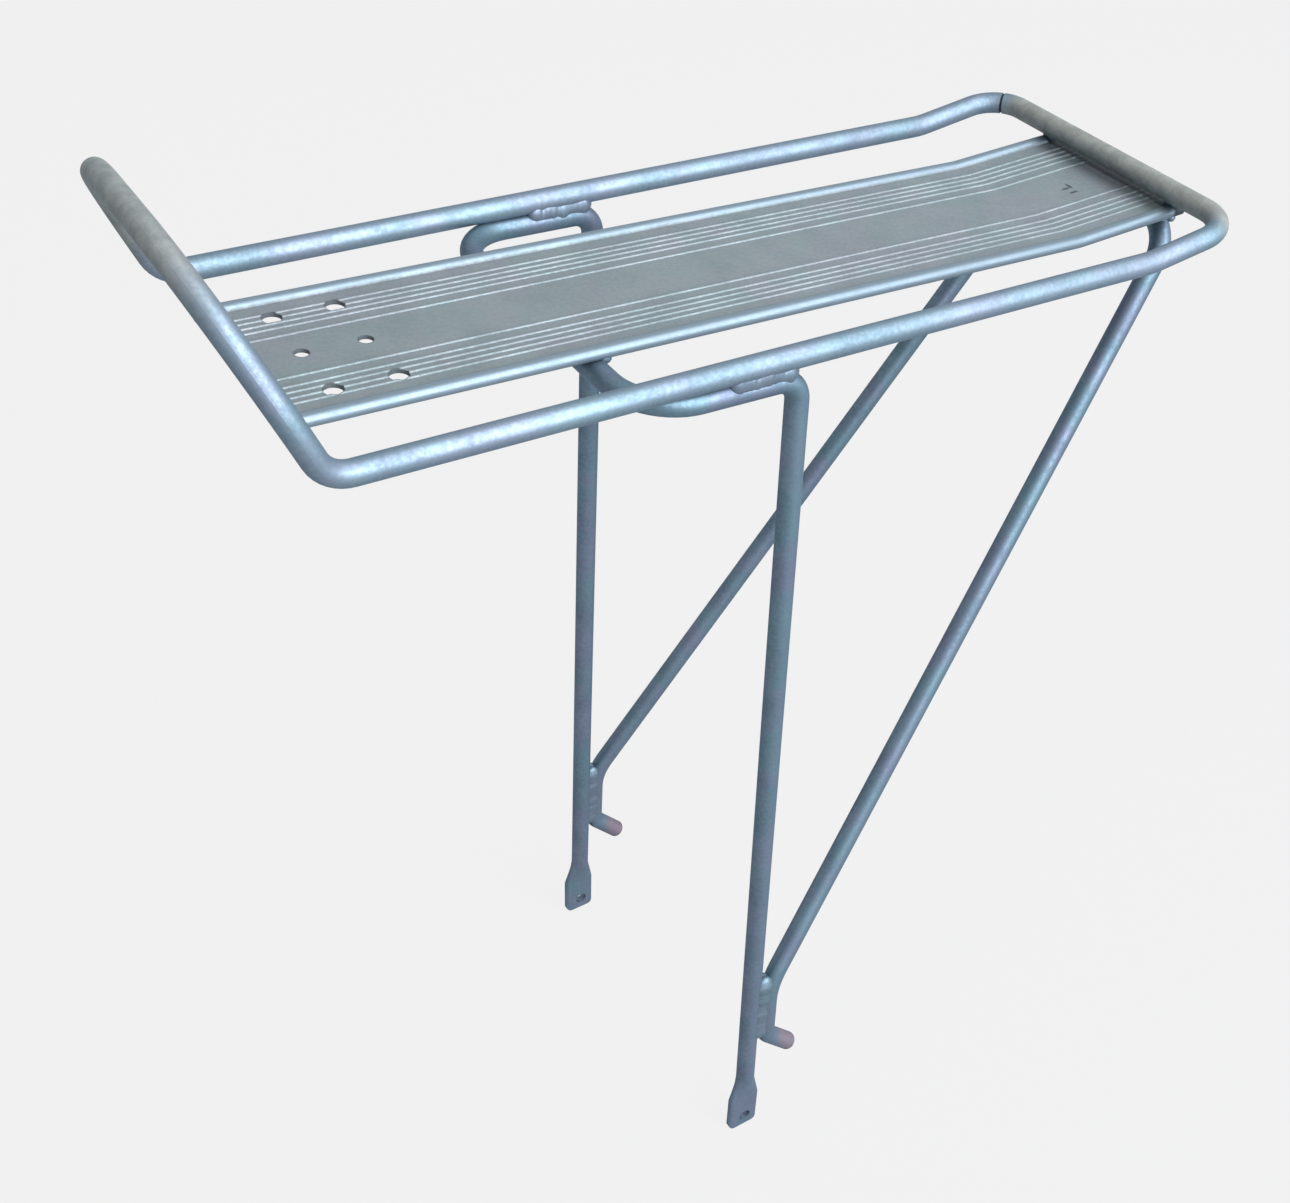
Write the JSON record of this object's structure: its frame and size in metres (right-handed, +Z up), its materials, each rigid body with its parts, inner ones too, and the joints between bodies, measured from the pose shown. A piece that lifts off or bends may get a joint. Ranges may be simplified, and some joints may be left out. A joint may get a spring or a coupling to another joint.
{
  "type": "bicycle rear rack",
  "caption": "Bicycle rear rack: a rod loop with a front stop hoop around a creased ribbed deck plate, on welded rod legs and stays with flattened eyelet feet.",
  "frame": {"origin": "midway between the two foot eyelet holes, on their common axis", "axes": "+X to the back of the bicycle, +Y to the rider's right, +Z up; the two halves mirror across Y = 0"},
  "size_m": [0.3864, 0.154, 0.4547],
  "materials": {
    "loop_rod": "satin silver coat",
    "frame_rod": "satin silver coat",
    "plate_extrusion": "satin silver coat",
    "weld_bead": "coated weld"
  },
  "bodies": {
    "root": {"top_loop": "loop_rod", "deck_plate": "plate_extrusion", "leg_frame": "frame_rod", "stay_frame": "frame_rod", "loop_seam_weld": "weld_bead", "rail_weld_left": "weld_bead", "rail_weld_right": "weld_bead", "stay_weld_left": "weld_bead", "stay_weld_right": "weld_bead", "middle_plate_weld_left": "weld_bead", "middle_plate_weld_right": "weld_bead", "rear_plate_weld_left": "weld_bead", "rear_plate_weld_right": "weld_bead", "rear_bar_weld_left": "weld_bead", "rear_bar_weld_right": "weld_bead"}
  },
  "joints": []
}
